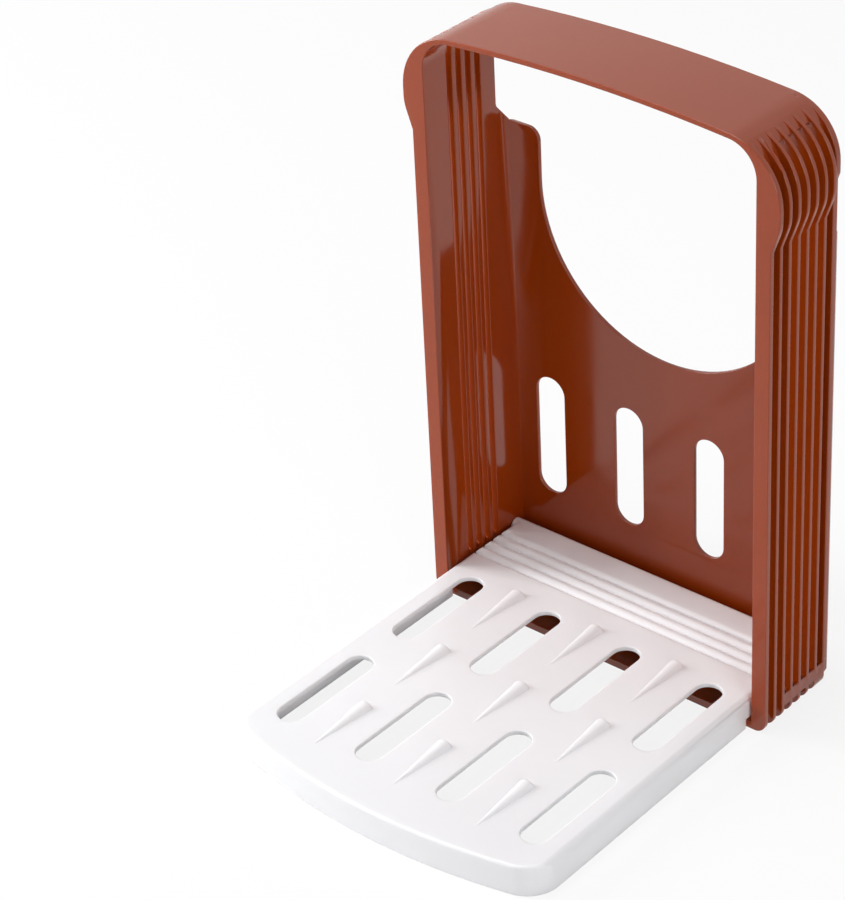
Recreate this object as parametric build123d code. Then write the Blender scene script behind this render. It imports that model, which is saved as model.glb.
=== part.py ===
"""Bread slicer guide: a slicing frame with finned, slit side walls, and a tray that folds up between them.

Millimetres. +X is to the right and +Y to the back, seen from the tray's side, and +Z is up. The origin is on
the table, under the middle of the whole guide with its tray down.
"""

from build123d import *
from math import atan2, cos, degrees, radians, sin, sqrt, tan
import os

# ---- Frame: overall sizes ----
frame_height = 234.0  # table to the highest point of the handle band
inner_width = 140.0  # between the two side walls
crown_radius = 700.0  # the handle band's gentle crown, outside
band_thick = 2.0  # handle band
wall_thick = 2.4  # side wall, behind the grooves
tail_thick = 1.6  # side wall behind the fins, up to the back panel
panel_thick = 1.6  # back panel
plate_thick = 3.0  # bottom plate

# ---- Frame: slices, fins and grooves ----
thinnest_slice = 15.0  # from the back panel to the far side of the first slit
slice_step = 5.0  # also the pitch of the fins
slit_count = 4
slit_width = 2.8
slit_clip_angle = 37.0  # how far the slits follow the arch's inner corner
groove_count = 7
groove_width = 3.3
grooves_before_slits = 2  # these two run out at the foot
front_fin = 2.2  # thickness of the front fin
back_fin = 2.6  # thickness of the rear fin
fin_reach = 6.0  # from the wall's inner face to the fins' outer edges
flare = 3.5  # how far the fins swell outwards at the arch's corner
back_flare = 0.9  # the rear fin swells less
flare_angle = 20.0
flare_round = 15.0
flare_land = 3.6  # upright stretch between the flare and the corner
corner_radius = 23.0  # arch corner, outside
inner_corner_radius = 12.0
foot_radius = 4.5
foot_band_low = 5.5  # band that ties the fins together at the foot
foot_band_high = 11.0
foot_band_out = 1.2  # the shelf on top of the band slopes down by this much
foot_step = 1.3  # the band stops this far short of the rear fin's rear face

# ---- Frame: back panel ----
ear_height = 180.0
cutout_radius = 57.0
cutout_depth = 77.0  # from the ears' top to the bottom of the U
ear_radius = 5.0
tail_rise = 8.5  # how far the wall's sloped top edge climbs from the ear to the arch
tail_root_radius = 3.0
back_edge_radius = 2.8
panel_slot_width = 13.0
panel_slot_length = 50.5
panel_slot_low = 27.0

# ---- Slots that the panel and the tray share ----
slot_columns = 4
slot_pitch = 36.6

# ---- Tray ----
tray_clearance = 1.2  # each side, to the walls
tray_height = 12.3
tray_reach = 171.5  # back panel to the middle of the front edge
front_bow_radius = 250.0
tray_corner_radius = 13.0
tray_plate = 2.0
skirt_thick = 2.0
tray_side_radius = 3.0
tray_front_radius = 1.2
foot_clearance = 1.0  # tray to bottom plate
tray_slot_width = 10.5
tray_slot_length = 45.5
tray_slot_rows = (45.0, 106.3)  # rear end of each row, from the back panel
notch_depth = 1.7
notch_backing = 1.2  # extra plate under the notches
rib_rows = (43.5, 86.0, 128.0)  # high end of each row, from the back panel
rib_length = 29.0
rib_width = 6.4
rib_height = 2.0
rib_tip_radius = 0.25
rib_end_radius = 0.9

# ---- Hinge ----
hinge_setback = 5.3  # hinge axis to the back panel
hinge_height = 9.4
pin_radius = 1.6
pin_clearance = 0.05
pin_recess = 0.2  # pin end, below the wall's outer face
hub_gap = 0.3  # hub to wall

# ---- Worked out ----
inner_half = inner_width / 2
outer_half = inner_half + fin_reach
groove_pitch = slice_step
arch_depth = front_fin + (groove_count - 1) * groove_pitch + groove_width + back_fin
last_slit = front_fin + groove_width / 2 + (grooves_before_slits + slit_count - 1) * groove_pitch
inner_depth = last_slit + slit_width / 2 + thinnest_slice
total_depth = tray_reach + panel_thick
y_panel = total_depth / 2 - panel_thick  # the back panel's inner face
y_back = total_depth / 2
y_front = y_panel - inner_depth
y_arch = y_front + arch_depth
y_hinge = y_panel - hinge_setback
tray_half = inner_half - tray_clearance
hub_radius = tray_height - hinge_height
crown_z = frame_height - crown_radius
slit_y = [y_front + last_slit - n * slice_step for n in range(slit_count)]
slot_x = [(n - (slot_columns - 1) / 2) * slot_pitch for n in range(slot_columns)]
rib_x = [(n - (slot_columns - 2) / 2) * slot_pitch for n in range(slot_columns - 1)]
over = 1.0  # how far cutters run past what they cut


def slab(sketch, y_low, y_high):
    """A sketch drawn as X and Z, made solid between two places along Y."""
    return extrude(Plane.XZ.offset(-y_high) * sketch, y_high - y_low)


def mirrored(shape):
    """A right-hand shape with its left-hand twin."""
    return shape + mirror(shape, Plane.YZ)


def corner_height(half_width, radius, crown):
    """Height of a corner's centre, for a corner that is tangent to the crown and to an upright."""
    return crown_z + sqrt((crown - radius) ** 2 - (half_width - radius) ** 2)


def crown_end(half_width, radius, crown):
    """The point where a corner of the arch leaves the crown."""
    rise = corner_height(half_width, radius, crown) - crown_z
    scale = crown / (crown - radius)
    return (half_width - radius) * scale, crown_z + rise * scale


def arch_outline(reach):
    """Outside of the arch for a flare's reach: crown, corner, flare, upright and rounded foot.

    Flares of any reach turn their corners about much the same centre.
    """
    swell = outer_half + reach
    radius = corner_radius - flare + reach
    centre = corner_height(swell, radius, crown_radius)
    top = crown_end(swell, radius, crown_radius)
    angle = radians(flare_angle)
    bend = flare_round * reach / flare
    flare_top = centre - flare_land
    slope_top = (swell - bend * (1 - cos(angle)), flare_top - bend * sin(angle))
    flare_foot = slope_top[1] - (slope_top[0] - outer_half) / tan(angle)
    line = Line((0, 0), (0, frame_height))
    line += RadiusArc((0, frame_height), top, crown_radius)
    line += RadiusArc(top, (swell, centre), radius)
    line += Line((swell, centre), (swell, flare_top))
    line += RadiusArc((swell, flare_top), slope_top, bend)
    line += Line(slope_top, (outer_half, flare_foot))
    line += Line((outer_half, flare_foot), (outer_half, foot_radius))
    line += RadiusArc((outer_half, foot_radius), (outer_half - foot_radius, 0), foot_radius)
    line += Line((outer_half - foot_radius, 0), (0, 0))
    half = make_face(line)
    return half + mirror(half, Plane.YZ)


def window_outline():
    """Inside of the arch, down to the bottom plate."""
    crown = crown_radius - band_thick
    centre = corner_height(inner_half, inner_corner_radius, crown)
    top = crown_end(inner_half, inner_corner_radius, crown)
    line = Line((0, plate_thick), (0, frame_height - band_thick))
    line += RadiusArc((0, frame_height - band_thick), top, crown)
    line += RadiusArc(top, (inner_half, centre), inner_corner_radius)
    line += Line((inner_half, centre), (inner_half, plate_thick))
    line += Line((inner_half, plate_thick), (0, plate_thick))
    half = make_face(line)
    return half + mirror(half, Plane.YZ)


def groove_outline(low):
    """Everything outside the wall's base, from a height up: it dies out where the band grows thin."""
    centre_x = inner_half - inner_corner_radius
    centre_z = corner_height(inner_half, inner_corner_radius, crown_radius - band_thick)
    radius = inner_corner_radius + wall_thick
    base = inner_half + wall_thick
    far = outer_half + flare + over
    sky = frame_height + over
    shelf = low - foot_band_out if low > 0 else low
    line = Line((base, low), (base, centre_z))
    line += RadiusArc((base, centre_z), (centre_x, centre_z + radius), -radius)
    line += Polyline((centre_x, centre_z + radius), (centre_x, sky), (far, sky), (far, shelf), (base, low))
    return make_face(line)


def slit_outline():
    """Strip of the wall that a knife slit opens, round into the arch's corner."""
    centre_x = inner_half - inner_corner_radius
    centre_z = corner_height(inner_half, inner_corner_radius, crown_radius - band_thick)
    angle = radians(slit_clip_angle)
    inner = inner_corner_radius - over
    outer = inner_corner_radius + wall_thick + over
    start, end = (centre_x + inner, centre_z), (centre_x + outer, centre_z)
    inner_end = (centre_x + inner * cos(angle), centre_z + inner * sin(angle))
    outer_end = (centre_x + outer * cos(angle), centre_z + outer * sin(angle))
    line = Line((start[0], foot_band_high), start)
    line += RadiusArc(start, inner_end, -inner)
    line += Line(inner_end, outer_end)
    line += RadiusArc(outer_end, end, outer)
    line += Polyline(end, (end[0], foot_band_high), (start[0], foot_band_high))
    return make_face(line)


def foot_strip(high):
    """Everything outside the wall's base, from the table up to a height."""
    base = inner_half + wall_thick
    far = outer_half + over
    return Pos((base + far) / 2, (high - over) / 2) * Rectangle(far - base, high + over)


def groove_start(number):
    """Front face of a groove along Y, counted from the front."""
    return y_front + front_fin + number * groove_pitch


def wall_grooves():
    """Grooves of the right-hand wall and the step at its heel. The slit ones open again under the band."""
    cutters = Part()
    for number in range(groove_count):
        start = groove_start(number)
        low = -over if number < grooves_before_slits else foot_band_high
        cutters += slab(groove_outline(low), start, start + groove_width)
        if grooves_before_slits <= number < grooves_before_slits + slit_count:
            cutters += slab(foot_strip(foot_band_low), start, start + groove_width)
    return cutters + slab(foot_strip(foot_band_high), y_arch - foot_step, y_arch + over)


def knife_slits():
    """The slits of the right-hand wall, each in the middle of its groove."""
    cutters = Part()
    for middle in slit_y:
        cutters += slab(slit_outline(), middle - slit_width / 2, middle + slit_width / 2)
    return cutters


def tail_wall():
    """The right-hand wall behind the fins, with its sloped top edge."""
    line = Polyline(
        (y_arch - over, 0),
        (y_back, 0),
        (y_back, ear_height),
        (y_panel, ear_height),
        (y_arch, ear_height + tail_rise),
        (y_arch, ear_height + tail_rise + tail_root_radius),
        (y_arch - over, ear_height + tail_rise + tail_root_radius),
        close=True,
    )
    side = make_face(line)
    root = side.vertices().sort_by_distance((y_arch, ear_height + tail_rise))[0]
    side = fillet(root, tail_root_radius)
    return extrude(Plane.YZ.offset(inner_half) * side, tail_thick)


def slot_sketch(width, length, low):
    """A round-ended slot that stands on a height."""
    return Pos(0, low + length / 2) * Rot(0, 0, 90) * SlotOverall(length, width)


def back_panel():
    """Back panel with its U cut-out, eared top and four slots."""
    half = inner_half + tail_thick
    outline = Pos(0, ear_height / 2) * Rectangle(2 * half, ear_height)
    centre = ear_height - cutout_depth + cutout_radius
    outline -= Pos(0, centre) * Circle(cutout_radius)
    rise = ear_height + over - centre
    outline -= Pos(0, centre + rise / 2) * Rectangle(2 * cutout_radius, rise)
    tips = [v for v in outline.vertices() if abs(abs(v.X) - cutout_radius) < 0.1 and v.Y > ear_height - over]
    outline = fillet(tips, ear_radius)
    for x in slot_x:
        outline -= Pos(x, 0) * slot_sketch(panel_slot_width, panel_slot_length, panel_slot_low)
    return slab(outline, y_panel, y_back)


def hinge_bore():
    """The hole of the right-hand wall that the tray's pin turns in."""
    length = tail_thick + 2 * over
    bore = Cylinder(pin_radius + pin_clearance, length, rotation=(0, 90, 0))
    return Pos(inner_half + tail_thick / 2, y_hinge, hinge_height) * bore


def slicing_frame():
    """The frame, one moulding."""
    arch = slab(arch_outline(flare), y_front, y_arch - back_fin)
    arch += slab(arch_outline(back_flare), y_arch - back_fin, y_arch)
    arch -= slab(window_outline(), y_front - over, y_arch + over)
    arch -= mirrored(wall_grooves())
    arch -= mirrored(knife_slits())
    plate = Pos(0, (y_front + y_back) / 2, plate_thick / 2) * Box(
        2 * inner_half + tail_thick, y_back - y_front, plate_thick
    )
    body = arch + mirrored(tail_wall()) + back_panel() + plate
    corners = [
        e
        for e in body.edges().filter_by(Axis.Z)
        if abs(e.center().Y - y_back) < 0.01 and abs(abs(e.center().X) - inner_half - tail_thick) < 0.01
    ]
    body = fillet(corners, back_edge_radius)
    return body - mirrored(hinge_bore())


def tray_plan(inset=0.0):
    """Plan of the tray with its bowed front edge, drawn in by an inset on all sides but the back."""
    half = tray_half - inset
    bow = front_bow_radius - inset
    front = y_panel - tray_reach + inset
    shoulder = front + bow - sqrt(bow**2 - half**2)
    line = Polyline((-half, shoulder), (-half, y_hinge), (half, y_hinge), (half, shoulder))
    line += RadiusArc((half, shoulder), (-half, shoulder), bow)
    face = make_face(line)
    tips = face.vertices().group_by(Axis.Y)[0]
    return fillet(tips, tray_corner_radius - inset)


def tray_shell():
    """Top plate and skirt. The sides are well rounded on top, the front edge only slightly."""
    body = extrude(tray_plan(), tray_height)
    rim = [e for e in body.edges().group_by(Axis.Z)[-1] if e.center().Y < y_hinge - over]
    body = fillet(rim, tray_front_radius)
    profile = Pos(0, tray_height / 2) * Rectangle(2 * tray_half, tray_height)
    profile = fillet(profile.vertices().group_by(Axis.Y)[-1], tray_side_radius)
    body &= slab(profile, y_panel - tray_reach - over, y_hinge)
    cavity = extrude(tray_plan(skirt_thick), tray_height - tray_plate)
    rear = Pos(0, y_hinge, tray_height / 2) * Box(2 * tray_half, 2 * hub_radius, 2 * tray_height)
    return body - (cavity - rear)


def under_frame():
    """Room that the tray leaves for the bottom plate and for the hinge side of the frame."""
    low = plate_thick + foot_clearance
    front = y_front - foot_clearance
    room = Pos(0, (front + y_back) / 2, (low - over) / 2) * Box(inner_width, y_back - front, low + over)
    heel = hinge_height - hub_radius
    return room + Pos(0, y_hinge, heel / 2) * Box(inner_width, 2 * hub_radius, heel)


def notch_wave():
    """Section of the blade notches as Y and Z: round crests with a sharp valley at each slit."""
    half = slice_step / 2
    radius = (half**2 + notch_depth**2) / (2 * notch_depth)
    valley = tray_height - notch_depth
    stops = sorted(slit_y)
    line = RadiusArc((stops[0] - half, tray_height), (stops[0], valley), radius)
    for here, there in zip(stops, stops[1:]):
        line += RadiusArc((here, valley), (there, valley), radius)
    line += RadiusArc((stops[-1], valley), (stops[-1] + half, tray_height), radius)
    front, back, roof = stops[0] - half, stops[-1] + half, tray_height + over
    line += Polyline((back, tray_height), (back, roof), (front, roof), (front, tray_height))
    return make_face(line)


def ramp_rib():
    """A ramp that rises from a point towards the frame, with its high end at the origin and its foot at Z 0.

    It is a slim cone, sunk in the plate so that its ridge climbs away from the tip.
    """
    big = (rib_width**2 / 4 + rib_height**2) / (2 * rib_height)
    sink = big - rib_height
    tilt = degrees(atan2(sink - rib_tip_radius, rib_length))
    cone = Cone(big, rib_tip_radius, rib_length, align=(Align.CENTER, Align.CENTER, Align.MIN))
    cone = fillet(cone.edges().group_by(Axis.Z)[0], rib_end_radius)
    ramp = Pos(0, 0, -sink) * Rot(90 - tilt, 0, 0) * cone
    bed = Pos(0, -rib_length / 2, -big) * Box(2 * big + over, rib_length + 2 * big, 2 * big)
    return ramp - bed


def hinge_side():
    """The right-hand hub and pin of the tray."""
    hub_length = tray_clearance - hub_gap
    hub = Pos(tray_half + hub_length / 2, y_hinge, hinge_height) * Cylinder(
        hub_radius, hub_length, rotation=(0, 90, 0)
    )
    reach = inner_half + tail_thick - pin_recess - tray_half
    pin = Pos(tray_half + reach / 2, y_hinge, hinge_height) * Cylinder(pin_radius, reach, rotation=(0, 90, 0))
    return hub + pin


def folding_tray():
    """The tray, one moulding."""
    body = tray_shell()
    backing_low = tray_height - tray_plate - notch_backing
    backing = Pos(0, sum(slit_y) / slit_count, (backing_low + tray_height - notch_depth) / 2) * Box(
        2 * tray_half - skirt_thick, slit_count * slice_step, tray_height - notch_depth - backing_low
    )
    body += backing
    body -= under_frame()
    body += Pos(0, y_hinge, hinge_height) * Cylinder(hub_radius, 2 * tray_half, rotation=(0, 90, 0))
    body -= extrude(Plane.YZ.offset(-tray_half - over) * notch_wave(), 2 * (tray_half + over))
    for x in slot_x:
        for row in tray_slot_rows:
            slot = Pos(x, y_panel - row - tray_slot_length / 2) * Rot(0, 0, 90)
            body -= extrude(slot * SlotOverall(tray_slot_length, tray_slot_width), tray_height + over)
    rib = ramp_rib()
    for x in rib_x:
        for row in rib_rows:
            body += Pos(x, y_panel - row, tray_height) * rib
    return body + mirrored(hinge_side())


def main():
    os.makedirs("parts", exist_ok=True)
    export_step(slicing_frame(), "parts/slicing_frame.step")
    export_step(folding_tray(), "parts/folding_tray.step")


main()
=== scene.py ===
"""Studio scene of the bread slicer guide.

It holds the guide's two mouldings and their plastics, the table, the lamps and the camera.
"""

import logging
import math
from dataclasses import dataclass
from enum import Enum

import bmesh
import bpy
import numpy as np
from mathutils import Matrix, Vector


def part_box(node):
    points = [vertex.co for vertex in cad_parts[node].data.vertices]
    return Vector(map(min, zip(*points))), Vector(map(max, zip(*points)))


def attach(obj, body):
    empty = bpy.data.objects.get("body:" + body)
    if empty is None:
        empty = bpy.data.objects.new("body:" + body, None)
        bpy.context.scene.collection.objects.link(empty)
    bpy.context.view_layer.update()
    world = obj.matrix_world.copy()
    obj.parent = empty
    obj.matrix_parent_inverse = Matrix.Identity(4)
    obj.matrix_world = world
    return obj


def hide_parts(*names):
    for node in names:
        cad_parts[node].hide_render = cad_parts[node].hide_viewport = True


MM = 0.001
PICTURE_SIDE = 900  # pixels, the longer side of the picture
SENSOR = 36.0  # millimetres, as wide as the picture's longer side
SEEN_WHITE_SHARE = 0.85  # how far the table is lifted to white where it is seen
SURROUND_LIGHT = 0.14  # strength of the white surround on matt surfaces
MERGE_DISTANCE = 2e-6  # metres; corners nearer than this are one
PANEL_THICKNESS = 1.6 * MM
PLASTIC_IOR = 1.5
CLOUD_SPAN = (0.35, 0.75)  # part of the noise that mixes in the second shade
CLOUD_SHARE = (0.0, 0.35)  # how much of the second shade there is at either end
POLISH_SPAN = (0.3, 0.7)  # part of the noise that varies the polish
POLISH_FINENESS = 4.0  # how many times finer the polish is than the clouds

log = logging.getLogger("slicer_guide")


class Tint(Enum):
    """Base colours, as linear red, green and blue."""

    REDDISH_BROWN = (0.31, 0.042, 0.002)
    DEEP_BROWN = (0.26, 0.032, 0.0015)
    COOL_WHITE = (0.89, 0.89, 0.91)
    SHADED_WHITE = (0.86, 0.85, 0.89)
    TABLE_WHITE = (0.90, 0.90, 0.90)


def rgba(tint: Tint) -> tuple[float, float, float, float]:
    """The tint with an opaque alpha."""
    return (*tint.value, 1.0)


@dataclass(frozen=True)
class MouldedPlastic:
    """Injection-moulded plastic: two close shades in slow clouds, a faint orange peel and uneven polish.

    Lengths are in metres. ``peel`` is the height of the surface's waviness, ``translucency`` is how much light
    soaks into the skin before it comes back, and ``soak`` is how many millimetres red, green and blue go.
    """

    name: str
    main: Tint
    shade: Tint
    roughness_low: float
    roughness_high: float
    peel: float
    peel_scale: float
    cloud_scale: float
    translucency: float
    soak: tuple[float, float, float]

    def material(self) -> bpy.types.Material:
        """Builds the node tree of the plastic.

        Returns:
            The finished material, which reads Object coordinates only.
        """
        made = bpy.data.materials.new(self.name)
        made.use_nodes = True
        tree = made.node_tree
        shader = tree.nodes["Principled BSDF"]
        place = tree.nodes.new("ShaderNodeTexCoord").outputs["Object"]
        clouds = self._noise(tree, place, self.cloud_scale, detail=3.0)
        shades = tree.nodes.new("ShaderNodeMix")
        shades.data_type = "RGBA"
        shades.inputs["A"].default_value = rgba(self.main)
        shades.inputs["B"].default_value = rgba(self.shade)
        spread = self._range(tree, clouds, CLOUD_SPAN, CLOUD_SHARE)
        tree.links.new(spread, shades.inputs["Factor"])
        tree.links.new(shades.outputs["Result"], shader.inputs["Base Color"])
        polish = self._noise(tree, place, self.cloud_scale * POLISH_FINENESS, detail=4.0)
        gloss = self._range(tree, polish, POLISH_SPAN, (self.roughness_low, self.roughness_high))
        tree.links.new(gloss, shader.inputs["Roughness"])
        bump = tree.nodes.new("ShaderNodeBump")
        bump.inputs["Strength"].default_value = 1.0
        bump.inputs["Distance"].default_value = self.peel
        tree.links.new(self._noise(tree, place, self.peel_scale, detail=2.0), bump.inputs["Height"])
        tree.links.new(bump.outputs["Normal"], shader.inputs["Normal"])
        shader.inputs["IOR"].default_value = PLASTIC_IOR
        shader.inputs["Subsurface Weight"].default_value = self.translucency
        shader.inputs["Subsurface Radius"].default_value = self.soak
        shader.inputs["Subsurface Scale"].default_value = MM
        return made

    @staticmethod
    def _noise(
        tree: bpy.types.NodeTree,
        place: bpy.types.NodeSocket,
        scale: float,
        detail: float,
    ) -> bpy.types.NodeSocket:
        """Adds a noise texture and returns its factor socket."""
        noise = tree.nodes.new("ShaderNodeTexNoise")
        noise.inputs["Scale"].default_value = scale
        noise.inputs["Detail"].default_value = detail
        tree.links.new(place, noise.inputs["Vector"])
        return noise.outputs["Fac"]

    @staticmethod
    def _range(
        tree: bpy.types.NodeTree,
        value: bpy.types.NodeSocket,
        source: tuple[float, float],
        target: tuple[float, float],
    ) -> bpy.types.NodeSocket:
        """Adds a map from one range of values to another and returns its result socket."""
        mapped = tree.nodes.new("ShaderNodeMapRange")
        mapped.inputs["From Min"].default_value, mapped.inputs["From Max"].default_value = source
        mapped.inputs["To Min"].default_value, mapped.inputs["To Max"].default_value = target
        tree.links.new(value, mapped.inputs["Value"])
        return mapped.outputs["Result"]


BROWN_GLOSS = MouldedPlastic(
    name="brown_gloss",
    main=Tint.REDDISH_BROWN,
    shade=Tint.DEEP_BROWN,
    roughness_low=0.09,
    roughness_high=0.15,
    peel=0.00002,
    peel_scale=60.0,
    cloud_scale=14.0,
    translucency=0.25,
    soak=(1.6, 0.35, 0.08),
)
WHITE_SATIN = MouldedPlastic(
    name="white_satin",
    main=Tint.COOL_WHITE,
    shade=Tint.SHADED_WHITE,
    roughness_low=0.29,
    roughness_high=0.36,
    peel=0.00001,
    peel_scale=90.0,
    cloud_scale=10.0,
    translucency=0.4,
    soak=(3.2, 3.1, 3.0),
)


@dataclass(frozen=True)
class NotchEnds:
    """Round ends of the ridges between the blade notches, where these run out through the tray's sides.

    Lengths are in metres. ``first`` is the first valley's distance to the back panel, ``half_width`` is the
    tray's, ``top`` is the prism's height, ``skin`` is how far the arcs stay off the side's plane, and ``past``
    and ``below`` are how far the prism reaches outside and under the tray.
    """

    half_width: float = 68.8 * MM
    first: float = 16.4 * MM
    step: float = 5.0 * MM
    count: int = 4
    depth: float = 1.4 * MM
    top: float = 20.0 * MM
    skin: float = 0.01 * MM
    past: float = 2.0 * MM
    below: float = 1.0 * MM
    arc_points: int = 9

    def cutter(self, panel_y: float, side: float) -> bpy.types.Mesh:
        """Makes the closed prism that is taken off one side of the tray.

        Its inner face is a row of arcs seen from above: each ridge ends in an arc over one step, whose middle
        touches the tray's side and whose ends lie ``depth`` inside it. At a distance t from the middle the arc
        lies radius minus the root of (radius squared minus t squared) inside.

        Args:
            panel_y: place of the back panel's inner face along Y.
            side: 1 for the right side and -1 for the left.

        Returns:
            The prism's mesh.
        """
        valleys = panel_y - self.first - self.step * np.arange(self.count)[::-1]
        half = self.step / 2
        radius = (half**2 + self.depth**2) / (2 * self.depth)
        middles = np.append(valleys, valleys[-1] + self.step) - half
        along = np.linspace(-half, half, self.arc_points)
        y = middles[:, None] + along[None]
        inside = np.broadcast_to(np.sqrt(radius**2 - along**2) - radius, y.shape).copy()
        inside[0, along < 0] = 0.0
        inside[-1, along > 0] = 0.0
        x = np.append(self.half_width + inside.ravel() + self.skin, [self.half_width + self.past] * 2)
        y = np.append(y.ravel(), [y.max(), y.min()])
        ring = len(x)
        low = np.stack([side * x, y, np.full(ring, -self.below)], axis=1)
        high = low + np.array([0.0, 0.0, self.top])
        walls = [(n, (n + 1) % ring, (n + 1) % ring + ring, n + ring) for n in range(ring)]
        mesh = bpy.data.meshes.new("notch_end_cutter")
        mesh.from_pydata(np.concatenate([low, high]).tolist(), [], [*walls, range(ring), range(ring, 2 * ring)])
        work = bmesh.new()
        work.from_mesh(mesh)
        bmesh.ops.remove_doubles(work, verts=work.verts, dist=MERGE_DISTANCE)
        bmesh.ops.recalc_face_normals(work, faces=work.faces)
        work.to_mesh(mesh)
        work.free()
        return mesh

    def carve(self, mesh: bpy.types.Mesh, panel_y: float) -> bpy.types.Mesh:
        """Takes both prisms off the tray's surface.

        Args:
            mesh: the tray's closed surface.
            panel_y: place of the back panel's inner face along Y.

        Returns:
            The carved surface, as a new mesh.
        """
        tray = bpy.data.objects.new("carved_tray", mesh)
        bpy.context.scene.collection.objects.link(tray)
        cutters = []
        for side in (1.0, -1.0):
            cutter = bpy.data.objects.new("notch_end_cutter", self.cutter(panel_y, side))
            bpy.context.scene.collection.objects.link(cutter)
            taken = tray.modifiers.new("notch_ends", "BOOLEAN")
            taken.operation, taken.solver, taken.object = "DIFFERENCE", "EXACT", cutter
            cutters.append(cutter)
        carved = bpy.data.meshes.new_from_object(tray.evaluated_get(bpy.context.evaluated_depsgraph_get()))
        for spare in (tray, *cutters):
            bpy.data.objects.remove(spare)
        return carved


@dataclass
class Moulding:
    """One plastic moulding of the guide, shown with its sharp mould edges softly broken.

    ``edge_break`` is the width of the broken edges in metres, and ``sharp_degrees`` is the fold from which an edge
    counts as sharp. ``flat_degrees`` is the fold up to which faces are one. ``room`` is how much wider than the
    broken edges a face has to be, and ``keen_cosine`` is the cosine from which two edges meet at a keen point.
    """

    node: str
    body: str
    material_slot: str
    finish: MouldedPlastic
    edge_break: float
    notch_ends: NotchEnds | None = None
    sharp_degrees: float = 32.0
    flat_degrees: float = 0.2
    segments: int = 2
    room: float = 1.25
    keen_cosine: float = 0.8

    def build(self) -> bpy.types.Object:
        """Makes the visible piece from the node's merged surface.

        Returns:
            The new object, which stands for the node.
        """
        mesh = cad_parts[self.node].data.copy()
        self._merge(mesh)
        if self.notch_ends:
            mesh = self.notch_ends.carve(mesh, panel_face())
        mesh.name = self.node + "_skin"
        self._heal(mesh)
        piece = bpy.data.objects.new(self.node + "_skin", mesh)
        bpy.context.scene.collection.objects.link(piece)
        mesh.materials.clear()
        mesh.materials.append(self.finish.material())
        mesh.polygons.foreach_set("use_smooth", np.ones(len(mesh.polygons), dtype=bool))
        self._break_edges(piece)
        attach(piece, self.body)
        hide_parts(self.node)
        return piece

    @staticmethod
    def _merge(mesh: bpy.types.Mesh) -> None:
        """Merges the node's loose triangles into one closed surface without its stored normals."""
        for stale in ("custom_normal", "sharp_face", "sharp_edge"):
            if stale in mesh.attributes:
                mesh.attributes.remove(mesh.attributes[stale])
        work = bmesh.new()
        work.from_mesh(mesh)
        bmesh.ops.remove_doubles(work, verts=work.verts, dist=MERGE_DISTANCE)
        work.to_mesh(mesh)
        work.free()

    def _heal(self, mesh: bpy.types.Mesh) -> None:
        """Makes the flat faces whole and marks the sharp edges and those to break."""
        work = bmesh.new()
        work.from_mesh(mesh)
        flat = math.radians(self.flat_degrees)
        bmesh.ops.dissolve_limit(work, angle_limit=flat, verts=work.verts, edges=work.edges)
        bmesh.ops.connect_verts_concave(work, faces=work.faces)
        work.edges.index_update()
        work.verts.index_update()
        layer = work.edges.layers.float.new("bevel_weight_edge")
        sharp, chosen = self._sort_edges(work)
        for edge in work.edges:
            edge[layer] = float(chosen[edge.index])
            edge.smooth = bool(chosen[edge.index] or not sharp[edge.index])
        work.to_mesh(mesh)
        work.free()

    def _sort_edges(self, work: bmesh.types.BMesh) -> tuple[np.ndarray, np.ndarray]:
        """Finds the sharp edges, and those to break: the outer ones with room for it on both their faces.

        Args:
            work: the healed surface.

        Returns:
            Two truth values for each edge: sharp, and to be broken.
        """
        fold = np.array([e.calc_face_angle_signed(0.0) if len(e.link_faces) == 2 else 0.0 for e in work.edges])
        sharp = np.abs(fold) > math.radians(self.sharp_degrees)
        ends = np.array([[vert.co[:] for vert in edge.verts] for edge in work.edges])
        names = np.array([[vert.index for vert in edge.verts] for edge in work.edges])
        chosen = sharp & (fold > 0.0)
        for face in work.faces:
            ring = np.array([edge.index for edge in face.edges])
            ring = ring[sharp[ring]]
            if len(ring) > 1:
                chosen[ring[self._crowded(ends[ring], names[ring], chosen[ring])]] = False
        return sharp, chosen

    def _crowded(self, ends: np.ndarray, names: np.ndarray, outer: np.ndarray) -> np.ndarray:
        """Tells which sharp edges of one face leave no room for a broken edge.

        Two of them that meet at a keen point are crowded, and so is one whose middle lies beside another, nearer
        than the broken edges are wide together.

        Args:
            ends: both end points of each edge.
            names: both end numbers of each edge.
            outer: which of them fold outwards.

        Returns:
            One truth value for each edge.
        """
        span = ends[:, 1] - ends[:, 0]
        length = np.maximum(np.linalg.norm(span, axis=1), 1e-9)
        along = span / length[:, None]
        middle = ends.mean(axis=1)
        reach = np.einsum("ijk,jk->ij", middle[:, None] - ends[None, :, 0], along)
        foot = ends[None, :, 0] + np.clip(reach, 0.0, length[None])[..., None] * along[None]
        apart = middle[:, None] - foot
        away = np.linalg.norm(apart, axis=2)
        beside = np.abs(np.einsum("ijk,ik->ij", apart, along)) < 0.5 * away
        need = self.edge_break * np.where(outer[None], 2.0, 1.0) * self.room
        near = beside & (away < need)
        shared = (names[:, None, :, None] == names[None, :, None, :]).any(axis=(2, 3))
        crowded = np.where(shared, self._keen(ends, names), near)
        np.fill_diagonal(crowded, False)
        return crowded.any(axis=1)

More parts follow.
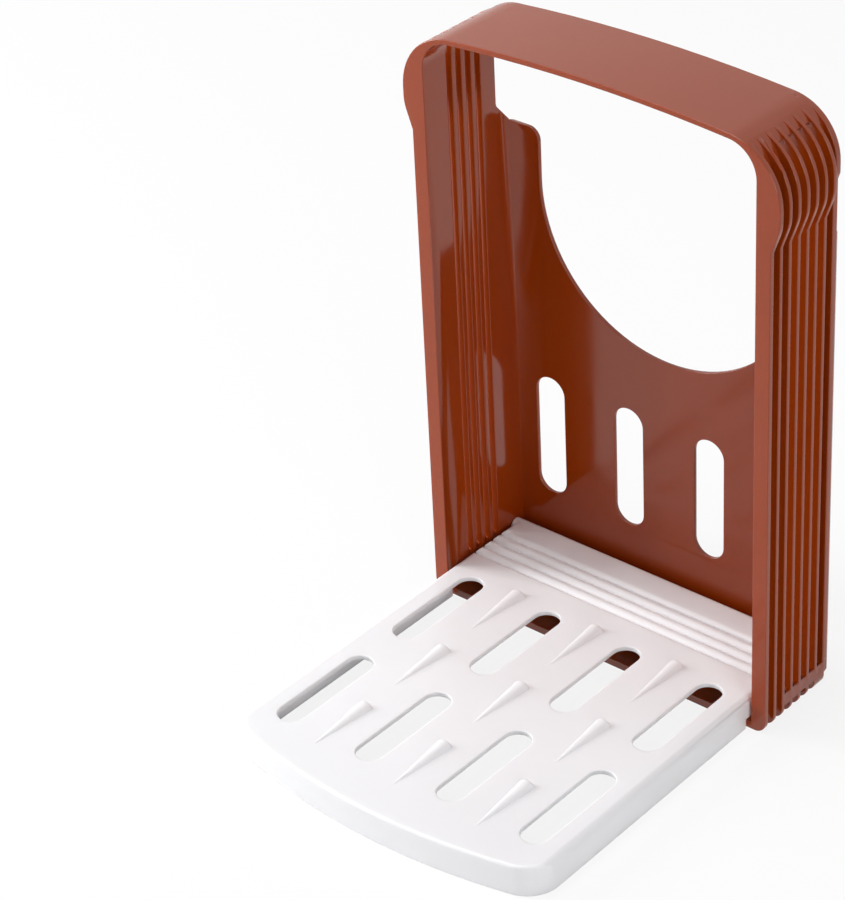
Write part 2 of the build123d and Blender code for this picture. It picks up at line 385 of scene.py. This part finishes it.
    def _keen(self, ends: np.ndarray, names: np.ndarray) -> np.ndarray:
        """Tells for each pair of edges whether they meet at a keen point, as a square table."""
        keen = np.zeros((len(ends), len(ends)), dtype=bool)
        for here in (0, 1):
            for there in (0, 1):
                meets = names[:, here][:, None] == names[:, there][None]
                leave = ends[:, 1 - here] - ends[:, here]
                arrive = ends[:, 1 - there] - ends[:, there]
                leave = leave / np.maximum(np.linalg.norm(leave, axis=1), 1e-9)[:, None]
                arrive = arrive / np.maximum(np.linalg.norm(arrive, axis=1), 1e-9)[:, None]
                keen |= meets & (leave @ arrive.T > self.keen_cosine)
        return keen

    def _break_edges(self, piece: bpy.types.Object) -> None:
        """Rounds the marked edges and lets the large faces carry the shading."""
        bevel = piece.modifiers.new("broken_edges", "BEVEL")
        bevel.width = self.edge_break
        bevel.segments = self.segments
        bevel.limit_method = "WEIGHT"
        bevel.use_clamp_overlap = False
        bevel.loop_slide = False
        weights = piece.modifiers.new("face_weights", "WEIGHTED_NORMAL")
        weights.weight = 100
        weights.keep_sharp = True


@dataclass
class Table:
    """The pale table and backdrop."""

    reach: float = 3.0

    def build(self) -> bpy.types.Object:
        """Makes the table as one square face.

        Returns:
            The table.
        """
        half = self.reach
        mesh = bpy.data.meshes.new("table")
        corners = [(-half, -half, 0.0), (half, -half, 0.0), (half, half, 0.0), (-half, half, 0.0)]
        mesh.from_pydata(corners, [], [(0, 1, 2, 3)])
        table = bpy.data.objects.new("table", mesh)
        bpy.context.scene.collection.objects.link(table)
        mesh.materials.append(self._material())
        return table

    @staticmethod
    def _material() -> bpy.types.Material:
        """Matt white that carries the shadow, lifted towards plain white where it is seen or mirrored."""
        made = bpy.data.materials.new("table_white")
        made.use_nodes = True
        tree = made.node_tree
        shader = tree.nodes["Principled BSDF"]
        shader.inputs["Base Color"].default_value = rgba(Tint.TABLE_WHITE)
        shader.inputs["Roughness"].default_value = 0.7
        glow = tree.nodes.new("ShaderNodeEmission")
        glow.inputs["Color"].default_value = (1.0, 1.0, 1.0, 1.0)
        mixed = tree.nodes.new("ShaderNodeMixShader")
        share = tree.nodes.new("ShaderNodeMath")
        share.operation = "MULTIPLY"
        share.inputs[1].default_value = SEEN_WHITE_SHARE
        tree.links.new(seen_rays(tree), share.inputs[0])
        tree.links.new(share.outputs["Value"], mixed.inputs["Fac"])
        tree.links.new(shader.outputs["BSDF"], mixed.inputs[1])
        tree.links.new(glow.outputs["Emission"], mixed.inputs[2])
        tree.links.new(mixed.outputs["Shader"], tree.nodes["Material Output"].inputs["Surface"])
        return made


def seen_rays(tree: bpy.types.NodeTree) -> bpy.types.NodeSocket:
    """One for camera, glossy and transmission rays, nought for the rays that only carry light.

    Args:
        tree: the node tree that gets the nodes.

    Returns:
        The socket that holds the value.
    """
    path = tree.nodes.new("ShaderNodeLightPath")
    value = path.outputs["Is Camera Ray"]
    for other in ("Is Glossy Ray", "Is Transmission Ray"):
        either = tree.nodes.new("ShaderNodeMath")
        either.operation = "MAXIMUM"
        tree.links.new(value, either.inputs[0])
        tree.links.new(path.outputs[other], either.inputs[1])
        value = either.outputs["Value"]
    return value


@dataclass(frozen=True)
class SoftBox:
    """One studio lamp: where it stands, what it faces, its size and power."""

    name: str
    place: tuple[float, float, float]
    aim: tuple[float, float, float]
    width: float
    height: float
    watts: float

    def build(self) -> bpy.types.Object:
        """Adds the lamp to the scene.

        Returns:
            The lamp's object.
        """
        lamp = bpy.data.lights.new(self.name, "AREA")
        lamp.shape = "RECTANGLE"
        lamp.size, lamp.size_y = self.width, self.height
        lamp.energy = self.watts
        holder = bpy.data.objects.new(self.name, lamp)
        bpy.context.scene.collection.objects.link(holder)
        holder.location = self.place
        holder.rotation_euler = (Vector(self.aim) - Vector(self.place)).to_track_quat("-Z", "Y").to_euler()
        return holder


LAMPS = (
    SoftBox("top", (-0.25, -0.10, 1.40), (0.0, 0.0, 0.05), 0.9, 0.8, 10.2),
    SoftBox("key_left", (-1.15, -0.48, 0.55), (0.0, 0.0, 0.1), 0.5, 0.8, 16.0),
    SoftBox("fill_right", (1.15, -0.50, 0.50), (0.0, 0.0, 0.1), 0.6, 0.6, 5.5),
)


@dataclass(frozen=True)
class StudioCamera:
    """The photograph's camera, fitted to the object. Angles in degrees, the rest in metres and pixels."""

    focal_pixels: float = 3127.56
    yaw: float = 38.386
    pitch: float = 30.525
    roll: float = -1.008
    distance: float = 1.0882
    centre_x: float = 609.85
    centre_y: float = 339.87
    picture_width: int = 845
    picture_height: int = 900
    target_from_panel: tuple[float, float, float] = (-0.00242, -0.030, 0.12669)

    def build(self, panel_y: float) -> bpy.types.Object:
        """Adds the camera and makes it the scene's own.

        Args:
            panel_y: place of the back panel's inner face along Y.

        Returns:
            The camera object.
        """
        yaw, pitch, roll = (math.radians(a) for a in (self.yaw, self.pitch, self.roll))
        back = Vector((math.sin(yaw) * math.cos(pitch), -math.cos(yaw) * math.cos(pitch), math.sin(pitch)))
        right = (-back).cross(Vector((0.0, 0.0, 1.0))).normalized()
        upward = right.cross(-back)
        across = math.cos(roll) * right + math.sin(roll) * upward
        upright = -math.sin(roll) * right + math.cos(roll) * upward
        target = Vector(self.target_from_panel) + Vector((0.0, panel_y, 0.0))
        lens = bpy.data.cameras.new("camera")
        lens.sensor_fit = "AUTO"
        lens.sensor_width = SENSOR
        lens.lens = self.focal_pixels / PICTURE_SIDE * SENSOR
        lens.shift_x = (self.picture_width / 2 - self.centre_x) / PICTURE_SIDE
        lens.shift_y = (self.centre_y - self.picture_height / 2) / PICTURE_SIDE
        lens.clip_start = 0.05
        camera = bpy.data.objects.new("camera", lens)
        bpy.context.scene.collection.objects.link(camera)
        turn = Matrix((across, upright, back)).transposed().to_4x4()
        camera.matrix_world = Matrix.Translation(target + self.distance * back) @ turn
        bpy.context.scene.camera = camera
        return camera


def panel_face() -> float:
    """Place of the back panel's inner face along Y, in metres."""
    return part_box("slicing_frame")[1][1] - PANEL_THICKNESS


def build_world() -> None:
    """A white surround: plain white where it is seen or mirrored, dimmer as light on matt surfaces."""
    world = bpy.data.worlds.new("surround")
    bpy.context.scene.world = world
    world.use_nodes = True
    tree = world.node_tree
    sky = tree.nodes["Background"]
    sky.inputs["Color"].default_value = (1.0, 1.0, 1.0, 1.0)
    level = tree.nodes.new("ShaderNodeMapRange")
    level.inputs["To Min"].default_value = SURROUND_LIGHT
    level.inputs["To Max"].default_value = 1.0
    tree.links.new(seen_rays(tree), level.inputs["Value"])
    tree.links.new(level.outputs["Result"], sky.inputs["Strength"])


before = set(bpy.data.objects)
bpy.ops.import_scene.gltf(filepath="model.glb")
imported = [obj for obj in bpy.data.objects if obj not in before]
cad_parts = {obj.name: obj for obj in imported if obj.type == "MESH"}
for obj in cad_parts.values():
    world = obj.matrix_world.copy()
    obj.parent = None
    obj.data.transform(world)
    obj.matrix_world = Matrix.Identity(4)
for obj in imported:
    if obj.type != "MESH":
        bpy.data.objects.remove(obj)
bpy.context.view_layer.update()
MOULDINGS = (
    Moulding(
        node="slicing_frame",
        body="frame",
        material_slot="frame_plastic",
        finish=BROWN_GLOSS,
        edge_break=0.00035,
    ),
    Moulding(
        node="folding_tray",
        body="tray",
        material_slot="tray_plastic",
        finish=WHITE_SATIN,
        edge_break=0.0004,
        notch_ends=NotchEnds(),
    ),
)


def main() -> None:
    """Builds the pieces, the table, the lamps and the camera."""
    logging.basicConfig(level=logging.INFO, format="%(name)s: %(message)s")
    for moulding in MOULDINGS:
        piece = moulding.build()
        log.info("%s has %d faces before its edges are broken", piece.name, len(piece.data.polygons))
    Table().build()
    for lamp in LAMPS:
        lamp.build()
    build_world()
    StudioCamera().build(panel_face())
    bpy.context.scene.view_settings.view_transform = "Standard"
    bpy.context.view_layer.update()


if __name__ == "__main__":
    main()
